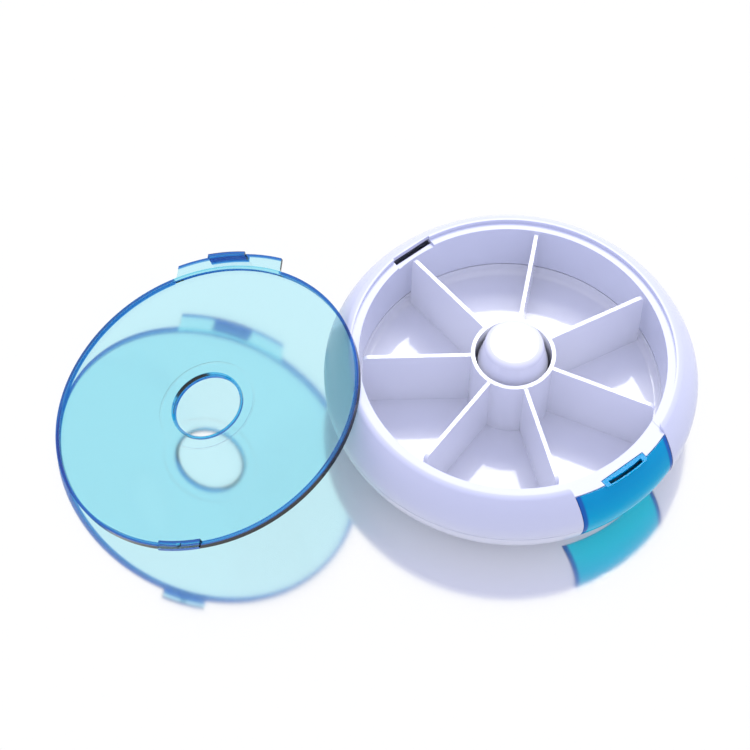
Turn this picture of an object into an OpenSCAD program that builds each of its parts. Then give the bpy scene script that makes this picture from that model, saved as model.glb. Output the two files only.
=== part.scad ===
// Round seven-day pill organiser: a wheel of compartments that turns in a ring-shaped
// case, a knob that is pressed and turned, a rocking latch button and a lift-off lid.
// The lid is off: it leans upside down against the case's left shoulder.
// Origin: on the table, under the wheel's axis. +Z is up and -Y is the front.

/* [Case] */
// Outer diameter of the ring-shaped case
case_d = 95; // [94.5:0.1:96]
// Height of the ring's crest above the table
crest_h = 25.4; // [25.3:0.05:25.6]
// Wall thickness of the two case shells
wall = 1.5; // [1.3:0.1:1.6]
// Height of the line where the two case shells meet
parting_z = 13.9; // [13.4:0.1:14.4]

/* [Wheel] */
// Number of pill compartments
compartments = 7; // [4:1:8]
// Thickness of each divider
divider_t = 1.0; // [0.8:0.1:1.4]
// Direction of the first divider in degrees, counter-clockwise from +X
divider_az = 34.5; // [0:0.5:90]
// Height of the dividers' top edges
divider_h = 24.9; // [23:0.1:25]

/* [Knob] */
// Height of the knob's top
knob_h = 30; // [29.5:0.1:31]
// Radius of the knob's skirt
knob_r = 8.9; // [8.7:0.05:9.1]

/* [Latch] */
// Direction of the latch button in degrees, counter-clockwise from +X
latch_az = -44.75; // [-50:0.25:-40]
// Width of the latch button
button_w = 29; // [27:0.5:30]
// Wall thickness of the latch button
button_t = 1.4; // [1.2:0.1:1.5]

/* [Lid] */
// Radius of the lid's round plate
lid_r = 40.75; // [40.5:0.05:40.85]
// Thickness of the lid's plate
lid_t = 0.9; // [0.8:0.05:1]
// Half the width of the lid's tab
tab_half_w = 14.4; // [13:0.1:14.5]
// Tilt of the leaning lid in degrees
lid_tilt = 18.7; // [18.5:0.1:19]

/* [Hidden] */
$fn = 96;
spring_sides = 8;
eps = 0.05;
tall = 40;

// Case section: arcs that meet smoothly
case_r = case_d / 2;
bottom_z = 0.5;
belly_z = 15;
lower_round = belly_z - bottom_z;
belly_round = 8.5;
shoulder_round = 20;
crest_round = 1.8;
crest_r = case_r - 6;
lower_c = [case_r - lower_round, belly_z];
belly_c = [case_r - belly_round, belly_z];
crest_c = [crest_r, crest_h - crest_round];

// Centre of the shoulder arc, which touches both the belly arc and the crest arc
to_belly = shoulder_round - belly_round;
to_crest = shoulder_round - crest_round;
arc_span = norm(crest_c - belly_c);
arc_dir = (crest_c - belly_c) / arc_span;
arc_along = (to_belly ^ 2 - to_crest ^ 2 + arc_span ^ 2) / (2 * arc_span);
arc_aside = sqrt(to_belly ^ 2 - arc_along ^ 2);
shoulder_c = belly_c + arc_dir * arc_along + [-arc_dir[1], arc_dir[0]] * arc_aside;

// Lid seat and the tube that lines the case
bore_r = 38.9;
step_r = 41;
seat_z = 24.2;
seat_t = 1.3;
tube_bottom_z = 8.8;
parting_gap = 0.15;
lip_inset = wall + 0.9;
lip_h = 1.5;

// Centre boss of the base, and the cup under it
boss_r = 4.6;
boss_h = 15.5;
stem_r = 3;
stem_fit = 0.05;
cup_r = 7;
cup_wall = 1.4;
cup_roof_z = 5.5;
cup_top_z = 6.6;

// Wheel: a dish with an upright rim, and a hub with a raised floor
floor_r = 39.8;
floor_z = 4;
floor_top = 5.2;
dish_round = 2.5;
dish_rim_t = 0.9;
dish_rim_z = 8.3;
hub_floor_z = 6.8;
hub_floor_top = 8.2;
divider_r = 37.9;
hub_r = 10.7;
hub_wall = 1;
hub_h = 25.1;
tube_r = boss_r + 0.1;
tube_wall = 1;
tube_top_z = 17.5;
rib_top_z = tube_top_z - 0.5;
rib_r = 6.6;
rib_w = 1.5;
rib_count = 3;

// Knob
knob_skirt_z = 18.4;
knob_waist_z = 22;
knob_round = 1.6;
knob_top_r = 7.5;
sleeve_in_r = 5.95;
sleeve_out_r = 7.2;
sleeve_bottom_z = 13;
sleeve_roof_z = 20.2;
stem_bottom_z = 5.3;
slot_w = 1.8;
knob_spring_r = 8.2;
knob_spring_wire = 0.6;

// Spindle screw and washer
washer_t = 0.7;
washer_r = 5.5;
screw_r = 1;
head_t = 1.2;
head_r = 2.6;
cover_r = 8.2;
cover_t = 1;

// Glide ring on its rail
rail_in_r = 33;
rail_out_r = 34.5;
rail_top_z = 2.9;
glide_wall = 0.9;
glide_top_z = 3.9;
glide_bottom_z = 2.35;

// Click plunger under the wheel
click_r = 29.4;
click_az = 150;
click_bore_r = 1.55;
click_boss_r = 2.4;
click_boss_h = 3.35;
click_bore_z = 1.1;
plunger_r = 1.5;
nose_r = 0.7;
plunger_z = 2.4;
plunger_collar_t = 0.4;
click_rail_half_w = 2;
click_rail_z = 3.55;
dimple_r = 1.1;
dimple_c_z = 2.98;

// Latch opening, button and its rocking axis
opening_half_w = button_w / 2 + 0.25;
ledge_r = 43.3;
ledge_z = seat_z - 0.1;
ledge_bottom_z = seat_z - seat_t - 1.1;
ledge_gap = 0.12;
button_top_z = 23.8;
button_bottom_z = 3.5;
button_inset = 0.1;
pivot_x = 40.3;
pivot_z = 20.8;
pivot_r = 1;
pivot_fit = 0.06;
pivot_l = 1.4;
opening_wall = 2;
end_plate_t = 1.2;
end_plate_inset = 0.1;
corner_round = 2.2;
tongue_half_w = 6.6;
tongue_in_r = 41.5;
tongue_out_r = 44.15;
tongue_top_z = 24.05;
tongue_t = 0.8;
catch_half_w = 5.3;
catch_in_r = 42.7;
catch_out_r = 43.75;
latch_spring_y = 9;
latch_spring_z = 12;
latch_spring_r = 1.5;
latch_spring_wire = 0.35;
latch_spring_x = [40, 44.2];
latch_pin_r = 0.9;
pocket_x = 35.8;

// Hook notch opposite the latch
notch_half_w = 5.85;
notch_rim_z = 23.4;
notch_slot_r = [39.9, 42.6];
notch_slot_z = [22, 24];

// Lid, in its own frame: middle of the rim at z 0, outer face up, tab towards +Y
rim_half_t = 0.95;
rim_in_r = 39.8;
tab_r = 44.9;
tab_fillet = 2;
hole_out_r = 8.7;
hole_in_r = 9.4;
collar_wall = 0.8;
collar_h = 0.7;
groove_r = 12.6;
groove_w = 0.4;
groove_depth = 0.12;
clip_half_w = 5.1;
clip_r = [42.85, 43.55];
clip_drop = 2.9;
barb = 0.3;
barb_t = 0.6;
hook_half_w = 5.5;
hook_leg_r = [40, 40.7];
hook_toe_r = 42.2;
hook_toe_t = 1.1;
hook_drop = 2.6;
hook_bump_r = 0.7;
lid_x = -75.68;
lid_y = -17.97;
lid_z = 14.25;
lid_roll = 2.95;

// Casing screws and feet
casing_screw_count = 3;
foot_count = 4;
first_fastener_az = latch_az + 45;
casing_screw_place = 43;
casing_boss_r = 2.7;
casing_boss_top_z = 21.5;
casing_head_r = 1.9;
casing_head_t = 1.2;
casing_seat_z = 8;
casing_screw_r = 1;
casing_screw_top_z = 19.5;
foot_r = 4;
foot_place = 26;
foot_top_z = 1.5;
foot_pad_z = 3;

// ---------- shared shapes ----------

// Half section of the solid case, shrunk inwards by inset
module case_section(inset = 0) {
    translate([0, bottom_z + inset])
        square([lower_c[0], belly_z - bottom_z - inset]);
    intersection() {
        translate(lower_c) circle(lower_round - inset);
        square([case_r, belly_z]);
    }
    translate([0, belly_z]) square([crest_r, crest_h - belly_z - inset]);
    intersection() {
        translate(belly_c) circle(belly_round - inset);
        translate([crest_r - belly_round, belly_z]) square([belly_round * 2, belly_round]);
    }
    if (inset < crest_round) translate(crest_c) circle(crest_round - inset);
    intersection() {
        translate(shoulder_c) circle(shoulder_round - inset);
        polygon([shoulder_c,
                 shoulder_c + (belly_c - shoulder_c) * 3,
                 shoulder_c + (crest_c - shoulder_c) * 2]);
    }
}

// Flat ring section from radius r0 to r1 and from height z0 to z1
module band(r0, r1, z0, z1) {
    translate([r0, z0]) square([r1 - r0, z1 - z0]);
}

// Ring around the axis
module ring(r0, r1, z0, z1) {
    rotate_extrude() band(r0, r1, z0, z1);
}

// Block in the latch's own frame, where +X is outwards and y is measured from the middle
module block(x0, x1, half_w, z0, z1) {
    translate([x0, -half_w, z0]) cube([x1 - x0, 2 * half_w, z1 - z0]);
}

// The two plates that stand at y = +-(inner_y to inner_y + t)
module side_plates(x0, x1, inner_y, t, z0, z1) {
    for (side = [-1, 1])
        translate([x0, side * (inner_y + t / 2) - t / 2, z0]) cube([x1 - x0, t, z1 - z0]);
}

// Pin along Y on the rocking axis, on both sides, from inner_y outwards
module rocking_pins(r, inner_y, l) {
    for (side = [-1, 1])
        translate([pivot_x, side * inner_y, pivot_z]) rotate([-90 * side, 0, 0]) cylinder(r = r, h = l);
}

// Places a child at fastener position i, of four positions round the case
module at_fastener(i, place_r) {
    rotate([0, 0, first_fastener_az + (i - 1) * 90]) translate([place_r, 0, 0]) children();
}

// Coil spring along +Z from z 0 to z l
module coil(r, wire, l, turns, steps_per_turn = 18) {
    steps = turns * steps_per_turn;
    rise = (l - wire) / steps;
    sides = spring_sides;
    points = [for (i = [0:steps], k = [0:sides - 1])
        let (turn = i * 360 / steps_per_turn, side = k * 360 / sides,
             out = r + wire / 2 * cos(side))
        [out * cos(turn), out * sin(turn), wire / 2 + i * rise + wire / 2 * sin(side)]];
    skin = [for (i = [0:steps - 1], k = [0:sides - 1])
        let (a = i * sides + k, b = i * sides + (k + 1) % sides)
        [a, b, b + sides, a + sides]];
    caps = [[for (k = [0:sides - 1]) sides - 1 - k], [for (k = [0:sides - 1]) steps * sides + k]];
    polyhedron(points, concat(skin, caps));
}

// ---------- case ----------

// Half section of the hollow upper ring, before the latch opening is cut
module upper_ring_section() {
    difference() {
        intersection() {
            case_section();
            band(bore_r, case_r, parting_z, crest_h);
        }
        intersection() {
            case_section(wall);
            band(bore_r + wall, case_r, 0, seat_z - seat_t);
        }
        band(0, step_r, seat_z, tall);
    }
    band(bore_r, bore_r + wall, tube_bottom_z, parting_z + 1);
}

// Opening in the ring's skin and crest for the latch button, out from the edge of the ledge
module latch_opening_cut() {
    difference() {
        block(bore_r - 8, case_r + 5, opening_half_w, 0, tall);
        ring(0, ledge_r, -1, ledge_z);
    }
}

// Rounds the crest's corners where the latch opening meets the seat's step
module crest_corner_cut() {
    bite = 0.03;
    c_y = opening_half_w + corner_round - bite;
    c_x = sqrt((step_r + corner_round - bite) ^ 2 - c_y ^ 2);
    foot = [c_x, c_y] * (step_r - 0.5) / (step_r + corner_round);
    for (side = [0, 1]) mirror([0, side, 0]) translate([0, 0, seat_z])
        linear_extrude(tall) difference() {
            polygon([[c_x - 4, opening_half_w - 1], [c_x, opening_half_w - 1], [c_x, c_y], foot]);
            translate([c_x, c_y]) circle(corner_round);
        }
}

// Slot under the crest for the lid's hook, and the lowered rim in front of it
module hook_notch_cut() {
    block(bore_r - 1, step_r, notch_half_w, notch_rim_z, tall);
    block(notch_slot_r[0], notch_slot_r[1], notch_half_w, notch_slot_z[0], notch_slot_z[1]);
    block(notch_slot_r[0], step_r, notch_half_w, notch_slot_z[0], tall);
}

module upper_casing() {
    color("white") difference() {
        union() {
            rotate_extrude() upper_ring_section();
            // closed ends of the ring at the latch opening
            rotate([0, 0, latch_az]) intersection() {
                rotate_extrude() intersection() {
                    case_section(wall / 2);
                    band(bore_r + wall / 2, case_r, parting_z, seat_z - seat_t / 2);
                }
                side_plates(bore_r - 4, case_r, opening_half_w + eps, opening_wall, parting_z, tall);
            }
            // bosses for the casing screws
            intersection() {
                rotate_extrude() difference() {
                    case_section(wall / 2);
                    band(0, bore_r, 0, tall);
                }
                for (i = [1:casing_screw_count]) at_fastener(i, casing_screw_place)
                    translate([0, 0, parting_z]) cylinder(r = casing_boss_r, h = casing_boss_top_z - parting_z);
            }
            // pins inside the latch springs
            rotate([0, 0, latch_az]) for (side = [-1, 1])
                translate([bore_r - 0.5, side * latch_spring_y, latch_spring_z])
                    rotate([0, 90, 0]) cylinder(r = latch_pin_r, h = 2.6);
        }
        rotate([0, 0, latch_az]) {
            latch_opening_cut();
            crest_corner_cut();
            rocking_pins(pivot_r + pivot_fit, opening_half_w - 1, pivot_l + 1);
            block(tongue_in_r - 0.2, ledge_r + 1, tongue_half_w + 0.15, seat_z - seat_t - 1, tall);
        }
        rotate([0, 0, latch_az + 180]) hook_notch_cut();
        for (i = [1:casing_screw_count]) at_fastener(i, casing_screw_place)
            translate([0, 0, parting_z - 1])
                cylinder(r = casing_screw_r, h = casing_screw_top_z - parting_z + 1.5);
    }
}

// Half section of the base: floor, wall, locating lip, glide rail and centre cup
module base_section() {
    difference() {
        intersection() {
            case_section();
            band(0, case_r, 0, parting_z - parting_gap);
        }
        case_section(wall);
    }
    intersection() {
        difference() {
            case_section(wall - eps);
            case_section(lip_inset);
        }
        band(rail_out_r, case_r, parting_z - 2 * lip_h, parting_z - parting_gap);
    }
    band(rail_in_r, rail_out_r, bottom_z + wall - eps, rail_top_z);
    band(0, cup_r + cup_wall, bottom_z + wall - eps, cup_top_z);
    band(0, boss_r, cup_top_z - eps, boss_h);
}

// Lip inside the upper ring's wall, left out at the latch opening and at the screw bosses
module locating_lip() {
    difference() {
        rotate_extrude() intersection() {
            difference() {
                case_section(wall + 0.1);
                case_section(lip_inset - eps);
            }
            band(rail_out_r, case_r, parting_z - lip_h, parting_z + lip_h);
        }
        rotate([0, 0, latch_az])
            block(bore_r, case_r, opening_half_w + opening_wall + 0.15, 0, tall);
        for (i = [1:casing_screw_count]) at_fastener(i, casing_screw_place)
            cylinder(r = casing_boss_r + 0.15, h = tall);
    }
}

module base_shell() {
    color("white") difference() {
        union() {
            rotate_extrude() base_section();
            locating_lip();
            // closed ends beside the latch button
            rotate([0, 0, latch_az]) intersection() {
                rotate_extrude() case_section(wall / 2);
                side_plates(pocket_x, case_r, opening_half_w - 0.5, opening_wall + 0.5,
                            bottom_z, parting_z - parting_gap);
            }
            // bosses for the casing screws
            intersection() {
                rotate_extrude() case_section(wall / 2);
                for (i = [1:casing_screw_count]) at_fastener(i, casing_screw_place)
                    cylinder(r = casing_boss_r, h = parting_z - parting_gap);
            }
            // seats of the feet and of the click plunger
            for (i = [1:foot_count]) at_fastener(i, foot_place)
                translate([0, 0, bottom_z]) cylinder(r = foot_r + 1, h = foot_pad_z - bottom_z);
            rotate([0, 0, click_az]) translate([click_r, 0, bottom_z])
                cylinder(r = click_boss_r, h = click_boss_h - bottom_z);
        }
        // latch pocket
        rotate([0, 0, latch_az])
            block(pocket_x - 1, case_r + 5, opening_half_w, button_bottom_z - 0.25, tall);
        // room for the wheel and for the lining tube
        ring(cup_r + cup_wall + 0.5, bore_r + wall + 0.1, click_boss_h, tall);
        // screw holes with sunk heads
        for (i = [1:casing_screw_count]) at_fastener(i, casing_screw_place) {
            translate([0, 0, -1]) cylinder(r = casing_head_r + 0.1, h = casing_seat_z + 1);
            cylinder(r = casing_screw_r + 0.1, h = tall);
        }
        for (i = [1:foot_count]) at_fastener(i, foot_place)
            translate([0, 0, -1]) cylinder(r = foot_r + 0.05, h = foot_top_z + 1);
        rotate([0, 0, click_az]) translate([click_r, 0, click_bore_z])
            cylinder(r = click_bore_r, h = tall);
        // cup and bore for the knob's stem
        translate([0, 0, -1]) cylinder(r = cup_r, h = cup_roof_z + 1);
        cylinder(r = stem_r + stem_fit, h = tall);
    }
}

// ---------- wheel and knob ----------

// Solid half section out to radius r and up from height z, with a rounded lower corner
module dish(r, z, corner) {
    band(0, r - corner, z, tall);
    band(0, r, z + corner, tall);
    translate([r - corner, z + corner]) circle(corner);
}

// Half section of the wheel's floor, rim, hub and guide tube
module wheel_section() {
    difference() {
        intersection() {
            dish(floor_r, floor_z, dish_round);
            band(hub_r - hub_wall, floor_r, floor_z, dish_rim_z);
        }
        dish(floor_r - dish_rim_t, floor_top, dish_round - dish_rim_t);
    }
    band(hub_r - hub_wall, hub_r, floor_z, hub_h);
    band(tube_r, hub_r - hub_wall + eps, hub_floor_z, hub_floor_top);
    band(tube_r, tube_r + tube_wall, hub_floor_z, tube_top_z);
    band(click_r - click_rail_half_w, click_r + click_rail_half_w, click_rail_z, floor_z + eps);
}

module compartment_wheel() {
    color("white") difference() {
        union() {
            rotate_extrude() wheel_section();
            for (i = [0:compartments - 1])
                rotate([0, 0, divider_az + i * 360 / compartments]) divider();
            for (i = [0:rib_count - 1]) rotate([0, 0, i * 360 / rib_count])
                translate([tube_r + tube_wall / 2, -rib_w / 2, hub_floor_top - eps])
                    cube([rib_r - tube_r - tube_wall / 2, rib_w, rib_top_z - hub_floor_top + eps]);
        }
        // dimples for the click plunger
        for (i = [0:compartments - 1])
            rotate([0, 0, click_az + i * 360 / compartments]) translate([click_r, 0, dimple_c_z])
                sphere(dimple_r);
    }
}

// One divider along +X, with a rounded outer top corner
module divider() {
    x0 = hub_r - hub_wall / 2;
    round_r = 1.2;
    translate([0, divider_t / 2, 0]) rotate([90, 0, 0]) linear_extrude(divider_t) {
        translate([x0, floor_top - eps]) square([divider_r - x0, divider_h - round_r - floor_top + eps]);
        translate([x0, floor_top - eps]) square([divider_r - round_r - x0, divider_h - floor_top + eps]);
        translate([divider_r - round_r, divider_h - round_r]) circle(round_r);
    }
}

module turn_knob() {
    color("white") difference() {
        rotate_extrude() {
            polygon([[0, knob_skirt_z], [knob_r, knob_skirt_z], [knob_r, knob_waist_z],
                     [knob_top_r, knob_h - knob_round], [knob_top_r - knob_round, knob_h], [0, knob_h]]);
            translate([knob_top_r - knob_round, knob_h - knob_round]) circle(knob_round);
            band(0, sleeve_out_r, sleeve_bottom_z, knob_skirt_z + eps);
            band(0, stem_r, stem_bottom_z, sleeve_bottom_z + eps);
        }
        ring(stem_r, sleeve_in_r, sleeve_bottom_z - 1, sleeve_roof_z);
        // slots that the wheel's ribs slide in
        for (i = [0:rib_count - 1]) rotate([0, 0, i * 360 / rib_count])
            translate([sleeve_in_r - 1, -slot_w / 2, sleeve_bottom_z - 1])
                cube([rib_r + 0.2 - sleeve_in_r + 1, slot_w, sleeve_roof_z - sleeve_bottom_z + 1]);
        translate([0, 0, stem_bottom_z - 1]) cylinder(r = screw_r, h = 8);
    }
}

module knob_spring() {
    color("silver") translate([0, 0, hub_floor_top])
        coil(knob_spring_r, knob_spring_wire, knob_skirt_z - hub_floor_top, 5);
}

module spindle_screw() {
    head_z = stem_bottom_z - washer_t - head_t;
    color("silver") difference() {
        union() {
            translate([0, 0, head_z]) cylinder(r = head_r, h = head_t);
            translate([0, 0, head_z]) cylinder(r = screw_r, h = head_t + washer_t + 6.5);
        }
        cross_recess(head_z, head_r);
    }
}

// Cross-shaped recess in a screw head that faces down
module cross_recess(head_z, r) {
    recess_w = 0.7;
    for (turn = [0, 90]) rotate([0, 0, turn])
        translate([-r * 0.6, -recess_w / 2, head_z - 1]) cube([r * 1.2, recess_w, 1.7]);
}

module spindle_washer() {
    color("silver") ring(screw_r + 0.1, washer_r, stem_bottom_z - washer_t, stem_bottom_z);
}

module centre_cover() {
    color("white") rotate_extrude() {
        band(0, cover_r, 0, bottom_z);
        band(0, cup_r - 0.05, bottom_z - eps, cover_t);
    }
}

module glide_ring() {
    color("whitesmoke") rotate_extrude() difference() {
        band(rail_in_r - glide_wall, rail_out_r + glide_wall, glide_bottom_z, glide_top_z);
        band(rail_in_r - 0.05, rail_out_r + 0.05, glide_bottom_z - 1, rail_top_z);
    }
}

module index_plunger() {
    color("whitesmoke") rotate([0, 0, click_az]) translate([click_r, 0, 0]) {
        translate([0, 0, plunger_z]) cylinder(r = plunger_r, h = plunger_collar_t);
        translate([0, 0, plunger_z + plunger_collar_t]) sphere(nose_r);
    }
}

module index_spring() {
    color("silver") rotate([0, 0, click_az]) translate([click_r, 0, click_bore_z])
        coil(1.1, 0.2, plunger_z - click_bore_z, 3);
}

// ---------- latch ----------

module latch_button() {
    half_w = button_w / 2;
    color("deepskyblue", 0.6) rotate([0, 0, latch_az]) difference() {
        union() {
            // outer skin, flush with the ring
            difference() {
                intersection() {
                    rotate_extrude() difference() {
                        case_section(button_inset);
                        case_section(button_inset + button_t);
                    }
                    block(pocket_x, case_r, half_w, button_bottom_z, button_top_z);
                }
                ring(0, ledge_r + ledge_gap, ledge_bottom_z - 0.2, tall);
            }
            // end plates that carry the rocking pins
            intersection() {
                rotate_extrude() case_section(button_inset + button_t / 2);
                for (side = [-1, 1]) translate([0, side * (half_w - end_plate_inset - end_plate_t / 2), 0])
                    end_plate();
            }
            rocking_pins(pivot_r, half_w - end_plate_t / 2, pivot_l + end_plate_t / 2);
            // catch tongue
            intersection() {
                block(tongue_in_r, tongue_out_r + 5, tongue_half_w, tongue_top_z - tongue_t, tongue_top_z);
                ring(bore_r, tongue_out_r, 0, tall);
            }
            // pins inside the latch springs
            intersection() {
                rotate_extrude() case_section(button_inset + button_t / 2);
                for (side = [-1, 1]) translate([latch_spring_x[1] - 0.9, side * latch_spring_y, latch_spring_z])
                    rotate([0, 90, 0]) cylinder(r = latch_pin_r, h = 6);
            }
        }
        // slot for the lid's clip, and the undercut that holds its barb
        intersection() {
            block(catch_in_r - 3, catch_out_r + 5, catch_half_w, 20, tall);
            union() {
                ring(catch_in_r, catch_out_r, 20, tall);
                ring(catch_in_r, catch_out_r + 0.3, 20, tongue_top_z - tongue_t);
            }
        }
    }
}

// Plate in the XZ plane, from the button's skin to the rocking axis
module end_plate() {
    low_x = 42;
    low_z = 6;
    top_z = pivot_z + 0.7;
    eye_r = 0.95;
    rotate([90, 0, 0]) translate([0, 0, -end_plate_t / 2]) linear_extrude(end_plate_t) {
        translate([pivot_x, pivot_z]) circle(eye_r);
        polygon([[low_x, low_z], [case_r, low_z], [case_r, top_z],
                 [pivot_x, top_z], [pivot_x - 1.3, pivot_z - 0.7]]);
    }
}

module latch_spring(side) {
    color("silver") rotate([0, 0, latch_az])
        translate([latch_spring_x[0], side * latch_spring_y, latch_spring_z]) rotate([0, 90, 0])
            coil(latch_spring_r, latch_spring_wire, latch_spring_x[1] - latch_spring_x[0], 6, 16);
}

module latch_spring_left() {
    latch_spring(-1);
}

module latch_spring_right() {
    latch_spring(1);
}

// ---------- lid ----------

// Outline of the lid's plate: a disc with a tab whose sides run into it in small arcs
module lid_outline() {
    c_x = tab_half_w + tab_fillet;
    c_y = sqrt((lid_r + tab_fillet) ^ 2 - c_x ^ 2);
    foot = [c_x, c_y] * lid_r / (lid_r + tab_fillet);
    circle(lid_r);
    intersection() {
        circle(tab_r);
        translate([-tab_half_w, 0]) square([2 * tab_half_w, tab_r]);
    }
    for (side = [0, 1]) mirror([side, 0]) difference() {
        polygon([[tab_half_w - 1, c_y], [c_x, c_y], foot, foot - [2, 2]]);
        translate([c_x, c_y]) circle(tab_fillet);
    }
}

// Ring sector that is cut square at +-half_w, in the direction +Y or -Y
module lid_lug(r0, r1, half_w, z0, z1, dir) {
    intersection() {
        ring(r0, r1, z0, z1);
        translate([-half_w, dir > 0 ? 0 : -tall * 2, z0 - 1]) cube([2 * half_w, tall * 2, z1 - z0 + 2]);
    }
}

module lid_local() {
    plate_z = rim_half_t - lid_t;
    difference() {
        union() {
            translate([0, 0, plate_z]) linear_extrude(lid_t) lid_outline();
            ring(rim_in_r, lid_r, -rim_half_t, plate_z + eps);
            ring(hole_out_r, hole_out_r + collar_wall, plate_z, rim_half_t + collar_h);
            lid_lug(clip_r[0], clip_r[1], clip_half_w, -clip_drop, plate_z + eps, 1);
            lid_lug(clip_r[0], clip_r[1] + barb, clip_half_w, -clip_drop, -clip_drop + barb_t, 1);
            lid_lug(hook_leg_r[0], hook_leg_r[1], hook_half_w, -hook_drop, plate_z, -1);
            lid_lug(hook_leg_r[0], hook_toe_r, hook_half_w, -hook_drop, -hook_drop + hook_toe_t, -1);
            translate([0, -(hook_leg_r[0] + hook_toe_r) / 2, -hook_drop]) sphere(hook_bump_r);
        }
        // tapered hole for the knob
        translate([0, 0, plate_z - eps])
            cylinder(r1 = hole_in_r, r2 = hole_out_r, h = lid_t + eps);
        cylinder(r = hole_out_r, h = tall);
        // shallow ring round the hole
        ring(groove_r - groove_w / 2, groove_r + groove_w / 2, rim_half_t - groove_depth, tall);
    }
}

module lid() {
    color("deepskyblue", 0.5)
        translate([lid_x, lid_y, lid_z]) rotate([lid_roll, 0, 0]) rotate([0, -lid_tilt, 0])
            rotate([0, 180, 0]) lid_local();
}

// ---------- fasteners and feet ----------

module casing_screw(i) {
    head_z = casing_seat_z - casing_head_t;
    color("silver") at_fastener(i, casing_screw_place) difference() {
        union() {
            translate([0, 0, head_z]) cylinder(r = casing_head_r, h = casing_head_t);
            translate([0, 0, head_z]) cylinder(r = casing_screw_r - 0.02, h = casing_screw_top_z - head_z);
        }
        cross_recess(head_z, casing_head_r);
    }
}

module foot(i) {
    color("lightgray") at_fastener(i, foot_place) cylinder(r = foot_r, h = foot_top_z);
}

upper_casing();
base_shell();
compartment_wheel();
turn_knob();
knob_spring();
spindle_screw();
spindle_washer();
centre_cover();
glide_ring();
index_plunger();
index_spring();
latch_button();
latch_spring_left();
latch_spring_right();
lid();
for (i = [1:casing_screw_count]) casing_screw(i);
for (i = [1:foot_count]) foot(i);
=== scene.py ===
"""Looks of a round seven-day pill organiser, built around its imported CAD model.

The case, its wheel, the knob and the clasp button stand on a white mirror-smooth table, and the
clear blue lid leans upside down against the case. Everything is in metres, in the CAD's frame.
"""

import math

import bpy
from mathutils import Matrix, Vector

MM = 0.001

# Camera: in front of the case, looking down at it
CAMERA_DISTANCE = 400.2 * MM
CAMERA_HEIGHT = 636.9 * MM
CAMERA_YAW = -0.0866
CAMERA_PITCH = 1.0023
CAMERA_ROLL = -0.033
CAMERA_LENS = 139.45
CAMERA_SENSOR = 36

# Light: a bright softbox behind the case, where flat glossy faces mirror it, in a white room
BACKDROP = (1.04, 1.04, 1.04, 1)
FILL = (0.61, 0.63, 0.92, 1)
SOFTBOX_PLACE = Vector((0.0, 0.42, 0.66))
SOFTBOX_SIZE = (0.32, 0.30)
SOFTBOX_RADIANCE = 9
FLOOR_RADIUS = 4.0
FLOOR_MIRROR = 0.92

# Colours, linear
CASE_WHITE = (0.82, 0.84, 0.93, 1)
WHEEL_WHITE = (0.945, 0.95, 0.98, 1)
CLEAR = (1, 1, 1, 1)
DEEP_BLUE = (0.02, 0.18, 0.60, 1)
RING_BLUE = (0.02, 0.42, 0.78, 1)
# The button's blue is the plastic's own; its paler low colour is painted light
BUTTON_TOP = (0.001, 0.48, 0.80, 1)
BUTTON_LOW_PAINTED_LIGHT = (0.001, 0.80, 0.98, 1)

# The leaning lid: the middle of its plate, its tilt and roll, and the places of its edges
LID_MIDDLE = Vector((-75.68, -17.97, 14.25)) * MM
LID_ROLL = math.radians(2.95)
LID_TILT = math.radians(18.7)
LID_RIM = 39.9 * MM
LID_TAB_HALF = 14.6 * MM
LID_TAB_EDGE = 44.2 * MM
LID_CLIP = 42.7 * MM
LID_CLIP_HALF = 5.2 * MM
LID_COLLAR = (8.6 * MM, 9.4 * MM)
BLEND = 0.1 * MM

# The latch button: its direction, half the distance between its end plates, and its heights
LATCH_DIRECTION = math.radians(-44.75)
BUTTON_HALF = 13.2 * MM
BUTTON_HEIGHTS = (6 * MM, 21 * MM)


# ---------- nodes ----------


def new_material(name):
    """Returns an empty material with its shader and its node tree."""
    material = bpy.data.materials.new(name)
    material.use_nodes = True
    tree = material.node_tree
    return material, tree.nodes["Principled BSDF"], tree


def set_inputs(node, **values):
    """Sets a node's sockets by name, with _ for a space."""
    for name, value in values.items():
        node.inputs[name.replace("_", " ")].default_value = value


def noise(tree, scale, detail=2.0, stretch=(1, 1, 1)):
    """Noise in object coordinates, scale per metre, between 0 and 1."""
    place = tree.nodes.new("ShaderNodeTexCoord")
    mapping = tree.nodes.new("ShaderNodeMapping")
    mapping.inputs["Scale"].default_value = stretch
    texture = tree.nodes.new("ShaderNodeTexNoise")
    set_inputs(texture, Scale=scale, Detail=detail)
    tree.links.new(place.outputs["Object"], mapping.inputs["Vector"])
    tree.links.new(mapping.outputs["Vector"], texture.inputs["Vector"])
    return texture.outputs["Fac"]


def spread(tree, value, low, high, start=0.3, end=0.7):
    """Maps a noise value onto the range from low to high."""
    node = tree.nodes.new("ShaderNodeMapRange")
    set_inputs(node, From_Min=start, From_Max=end, To_Min=low, To_Max=high)
    tree.links.new(value, node.inputs["Value"])
    return node.outputs["Result"]


def facing(tree, direction, start, end):
    """1 on faces that look along a direction or its opposite, falling to 0 on faces across it."""
    place = tree.nodes.new("ShaderNodeTexCoord")
    along = tree.nodes.new("ShaderNodeVectorMath")
    along.operation = "DOT_PRODUCT"
    along.inputs[1].default_value = direction
    size = tree.nodes.new("ShaderNodeMath")
    size.operation = "ABSOLUTE"
    tree.links.new(place.outputs["Normal"], along.inputs[0])
    tree.links.new(along.outputs["Value"], size.inputs[0])
    return spread(tree, size.outputs["Value"], 0, 1, start, end)


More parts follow.
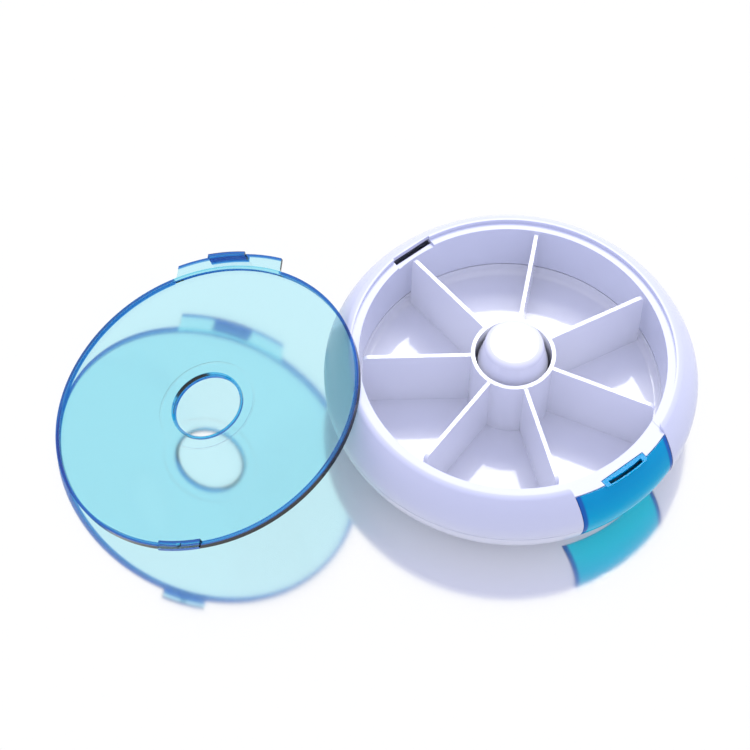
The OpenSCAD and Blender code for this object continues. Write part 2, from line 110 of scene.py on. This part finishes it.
def along(tree, direction, middle=(0, 0, 0)):
    """How far a point of the object lies from middle along a direction, with its sign."""
    place = tree.nodes.new("ShaderNodeTexCoord")
    offset = tree.nodes.new("ShaderNodeVectorMath")
    offset.operation = "SUBTRACT"
    offset.inputs[1].default_value = middle
    product = tree.nodes.new("ShaderNodeVectorMath")
    product.operation = "DOT_PRODUCT"
    product.inputs[1].default_value = direction
    tree.links.new(place.outputs["Object"], offset.inputs[0])
    tree.links.new(offset.outputs["Vector"], product.inputs[0])
    return product.outputs["Value"]


def away(tree, axis, middle):
    """How far a point of the object lies from an axis through middle."""
    place = tree.nodes.new("ShaderNodeTexCoord")
    offset = tree.nodes.new("ShaderNodeVectorMath")
    offset.operation = "SUBTRACT"
    offset.inputs[1].default_value = middle
    across = tree.nodes.new("ShaderNodeVectorMath")
    across.operation = "CROSS_PRODUCT"
    across.inputs[1].default_value = axis
    length = tree.nodes.new("ShaderNodeVectorMath")
    length.operation = "LENGTH"
    tree.links.new(place.outputs["Object"], offset.inputs[0])
    tree.links.new(offset.outputs["Vector"], across.inputs[0])
    tree.links.new(across.outputs["Vector"], length.inputs[0])
    return length.outputs["Value"]


def calculate(tree, operation, first, second=None):
    """The result of one sum on one or two values."""
    node = tree.nodes.new("ShaderNodeMath")
    node.operation = operation
    tree.links.new(first, node.inputs[0])
    if second is not None:
        tree.links.new(second, node.inputs[1])
    return node.outputs["Value"]


def within(tree, value, low, high):
    """1 where a length is between low and high, 0 elsewhere."""
    return calculate(tree, "MULTIPLY", spread(tree, value, 0, 1, low, low + BLEND),
                     spread(tree, value, 1, 0, high, high + BLEND))


def mix_colours(tree, value, first, second):
    """A colour between first and second, by value. Each is a constant or another node's colour."""
    node = tree.nodes.new("ShaderNodeMix")
    node.data_type = "RGBA"
    for socket, colour in (("A", first), ("B", second)):
        if isinstance(colour, bpy.types.NodeSocket):
            tree.links.new(colour, node.inputs[socket])
        else:
            node.inputs[socket].default_value = colour
    tree.links.new(value, node.inputs["Factor"])
    return node.outputs["Result"]


def bump(tree, shader, *layers):
    """Gives a shader bump from (height, depth in metres) layers, coarse first."""
    last = None
    for height, depth in layers:
        node = tree.nodes.new("ShaderNodeBump")
        set_inputs(node, Strength=1.0, Distance=depth)
        tree.links.new(height, node.inputs["Height"])
        if last is not None:
            tree.links.new(last, node.inputs["Normal"])
        last = node.outputs["Normal"]
    tree.links.new(last, shader.inputs["Normal"])


# ---------- materials ----------


def moulded_white(name, colour, gloss, shine, grain):
    """White moulded plastic: slight flow marks, a fine grain and an uneven gloss."""
    material, shader, tree = new_material(name)
    flow = noise(tree, 35, 3, (1, 1, 2))
    fine = noise(tree, 2200, 3)
    deeper = [0.975 * part for part in colour[:3]] + [1]
    tree.links.new(mix_colours(tree, flow, colour, deeper), shader.inputs["Base Color"])
    tree.links.new(spread(tree, fine, gloss, gloss + 0.03), shader.inputs["Roughness"])
    set_inputs(shader, IOR=1.53, Specular_IOR_Level=shine)
    bump(tree, shader, (noise(tree, 60, 1), 0.02 * MM), (fine, grain * MM))
    return material


def clear_blue(name, density, clearness, shine):
    """Clear blue plastic whose colour deepens with the way through it, as yet without a base colour."""
    material, shader, tree = new_material(name)
    set_inputs(shader, Transmission_Weight=clearness, IOR=1.49, Specular_IOR_Level=shine)
    tree.links.new(spread(tree, noise(tree, 500, 2), 0.02, 0.035), shader.inputs["Roughness"])
    bump(tree, shader, (noise(tree, 70, 1), 0.02 * MM))
    volume = tree.nodes.new("ShaderNodeVolumeAbsorption")
    set_inputs(volume, Color=(0.15, 0.81, 0.92, 1), Density=density)
    tree.links.new(volume.outputs["Volume"], tree.nodes["Material Output"].inputs["Volume"])
    return material, shader, tree


def lid_plastic():
    """Clear blue, deep blue in its edges and clip, where light runs along the plate."""
    material, shader, tree = clear_blue("clear_blue_lid", 640, 1.0, 0.5)
    lean = Matrix.Rotation(LID_ROLL, 3, "X") @ Matrix.Rotation(-LID_TILT, 3, "Y")
    axis = lean @ Vector((0, 0, 1))
    reach = away(tree, axis, LID_MIDDLE)
    across = calculate(tree, "ABSOLUTE", along(tree, lean @ Vector((1, 0, 0)), LID_MIDDLE))
    up = along(tree, lean @ Vector((0, 1, 0)), LID_MIDDLE)
    off_tab = calculate(tree, "MAXIMUM", spread(tree, across, 0, 1, LID_TAB_HALF, LID_TAB_HALF + BLEND),
                        spread(tree, up, 1, 0, 0, MM))
    rim = calculate(tree, "MULTIPLY", within(tree, reach, LID_RIM, LID_RIM + MM), off_tab)
    clip = calculate(tree, "MULTIPLY", spread(tree, reach, 0, 1, LID_CLIP, LID_CLIP + BLEND),
                     spread(tree, across, 1, 0, LID_CLIP_HALF, LID_CLIP_HALF + BLEND))
    tab = spread(tree, reach, 0, 1, LID_TAB_EDGE, LID_TAB_EDGE + BLEND)
    edge = facing(tree, axis, 0.75, 0.35)
    for part in (rim, clip, tab):
        edge = calculate(tree, "MAXIMUM", edge, part)
    body = mix_colours(tree, within(tree, reach, *LID_COLLAR), CLEAR, RING_BLUE)
    tree.links.new(mix_colours(tree, edge, body, DEEP_BLUE), shader.inputs["Base Color"])
    return material


def button_plastic():
    """Half clear blue with painted light that makes it paler low down, and deep blue ends where its end
    plates show through.
    """
    material, shader, tree = clear_blue("clear_blue_button", 500, 0.18, 0.02)
    side = Vector((-math.sin(LATCH_DIRECTION), math.cos(LATCH_DIRECTION), 0))
    across = calculate(tree, "ABSOLUTE", along(tree, side))
    ends = spread(tree, across, 0, 1, BUTTON_HALF, BUTTON_HALF + 0.5 * MM)
    # Painted light: the button turns paler towards its foot
    height = spread(tree, along(tree, (0, 0, 1)), 0, 1, *BUTTON_HEIGHTS)
    body = mix_colours(tree, height, BUTTON_LOW_PAINTED_LIGHT, BUTTON_TOP)
    tree.links.new(mix_colours(tree, ends, body, DEEP_BLUE), shader.inputs["Base Color"])
    return material


def steel():
    """Bright steel wire and screws, with fine drawing lines."""
    material, shader, tree = new_material("steel")
    lines = noise(tree, 900, 4, (1, 1, 8))
    tint = mix_colours(tree, lines, (0.58, 0.58, 0.60, 1), (0.72, 0.72, 0.74, 1))
    tree.links.new(tint, shader.inputs["Base Color"])
    tree.links.new(spread(tree, lines, 0.18, 0.36), shader.inputs["Roughness"])
    shader.inputs["Metallic"].default_value = 1.0
    bump(tree, shader, (lines, 0.004 * MM))
    return material


def soft_rubber():
    """Pale grey rubber with a matt, slightly pebbled face."""
    material, shader, tree = new_material("soft_rubber")
    pebble = noise(tree, 1500, 4)
    tint = mix_colours(tree, pebble, (0.50, 0.51, 0.54, 1), (0.60, 0.61, 0.64, 1))
    tree.links.new(tint, shader.inputs["Base Color"])
    tree.links.new(spread(tree, pebble, 0.62, 0.85), shader.inputs["Roughness"])
    bump(tree, shader, (pebble, 0.03 * MM))
    return material


def natural_plastic():
    """Unpainted slippery plastic, cream white and half matt."""
    material, shader, tree = new_material("natural_plastic")
    cloud = noise(tree, 120, 3)
    tint = mix_colours(tree, cloud, (0.80, 0.79, 0.74, 1), (0.86, 0.85, 0.81, 1))
    tree.links.new(tint, shader.inputs["Base Color"])
    tree.links.new(spread(tree, noise(tree, 1800, 2), 0.35, 0.5), shader.inputs["Roughness"])
    bump(tree, shader, (cloud, 0.01 * MM))
    return material


# ---------- stage ----------


def add_camera():
    data = bpy.data.cameras.new("camera")
    data.lens = CAMERA_LENS
    data.sensor_width = CAMERA_SENSOR
    data.clip_start = 0.01
    camera = bpy.data.objects.new("camera", data)
    bpy.context.scene.collection.objects.link(camera)
    place = Matrix.Translation((0, -CAMERA_DISTANCE, CAMERA_HEIGHT))
    turn = Matrix.Rotation(-CAMERA_YAW, 4, "Z") @ Matrix.Rotation(math.pi / 2 - CAMERA_PITCH, 4, "X")
    camera.matrix_world = place @ turn @ Matrix.Rotation(-CAMERA_ROLL, 4, "Z")
    bpy.context.scene.camera = camera


def add_world():
    """A white room. Matt surfaces get a weaker, slightly blue share of it as fill light."""
    world = bpy.data.worlds.new("studio")
    bpy.context.scene.world = world
    world.use_nodes = True
    tree = world.node_tree
    background = tree.nodes["Background"]
    path = tree.nodes.new("ShaderNodeLightPath")
    colour = mix_colours(tree, path.outputs["Is Diffuse Ray"], BACKDROP, FILL)
    tree.links.new(colour, background.inputs["Color"])


def add_softbox():
    data = bpy.data.lights.new("softbox", "AREA")
    data.shape = "RECTANGLE"
    data.size, data.size_y = SOFTBOX_SIZE
    data.energy = SOFTBOX_RADIANCE * math.pi * data.size * data.size_y
    light = bpy.data.objects.new("softbox", data)
    bpy.context.scene.collection.objects.link(light)
    aim = SOFTBOX_PLACE.to_track_quat("Z", "Y").to_matrix().to_4x4()
    light.matrix_world = Matrix.Translation(SOFTBOX_PLACE) @ aim
    light.visible_camera = False
    return light


def add_floor():
    """A smooth white table that mirrors what stands on it."""
    bpy.ops.mesh.primitive_circle_add(vertices=128, radius=FLOOR_RADIUS, fill_type="NGON", location=(0, 0, 0))
    floor = bpy.context.object
    floor.name = "floor"
    material, shader, tree = new_material("white_table")
    tree.nodes.remove(shader)
    matt = tree.nodes.new("ShaderNodeBsdfDiffuse")
    matt.inputs["Color"].default_value = (0.95, 0.95, 0.97, 1)
    mirror = tree.nodes.new("ShaderNodeBsdfGlossy")
    set_inputs(mirror, Color=(1, 1, 1, 1), Roughness=0.13)
    both = tree.nodes.new("ShaderNodeMixShader")
    both.inputs[0].default_value = FLOOR_MIRROR
    tree.links.new(matt.outputs[0], both.inputs[1])
    tree.links.new(mirror.outputs[0], both.inputs[2])
    tree.links.new(both.outputs[0], tree.nodes["Material Output"].inputs["Surface"])
    floor.data.materials.append(material)
    return floor


def keep_off(light, *objects):
    """Keeps a light, and its mirror image, off some objects."""
    spared = bpy.data.collections.new("spared_by_softbox")
    light.light_linking.receiver_collection = spared
    for number, each in enumerate(objects):
        spared.objects.link(each)
        spared.collection_objects[number].light_linking.link_state = "EXCLUDE"


# ---------- the object ----------


def finish_node(node, material):
    """Gives a CAD node its material."""
    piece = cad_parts[node]
    piece.data.materials.clear()
    piece.data.materials.append(material)


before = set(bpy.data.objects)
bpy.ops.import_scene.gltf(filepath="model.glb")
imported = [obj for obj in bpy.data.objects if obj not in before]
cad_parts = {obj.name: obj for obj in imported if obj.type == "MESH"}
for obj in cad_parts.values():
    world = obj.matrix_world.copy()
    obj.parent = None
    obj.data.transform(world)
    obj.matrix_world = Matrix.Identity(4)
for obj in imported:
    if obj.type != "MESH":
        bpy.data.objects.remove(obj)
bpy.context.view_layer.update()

add_camera()
add_world()
keep_off(add_softbox(), add_floor(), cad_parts["lid"])

satin_white = moulded_white("satin_white_plastic", CASE_WHITE, 0.24, 0.3, 0.0006)
gloss_white = moulded_white("gloss_white_plastic", WHEEL_WHITE, 0.06, 0.5, 0.0004)
lid_blue = lid_plastic()
button_blue = button_plastic()
steel_look = steel()
rubber_look = soft_rubber()
natural_look = natural_plastic()

LOOKS = {
    "upper_casing": satin_white,
    "base_shell": satin_white,
    "compartment_wheel": gloss_white,
    "turn_knob": gloss_white,
    "centre_cover": satin_white,
    "lid": lid_blue,
    "latch_button": button_blue,
    "glide_ring": natural_look,
    "index_plunger": natural_look,
}

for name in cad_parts:
    if name in LOOKS:
        finish_node(name, LOOKS[name])
    elif name.startswith("foot"):
        finish_node(name, rubber_look)
    else:
        finish_node(name, steel_look)

bpy.context.scene.view_settings.view_transform = "Standard"
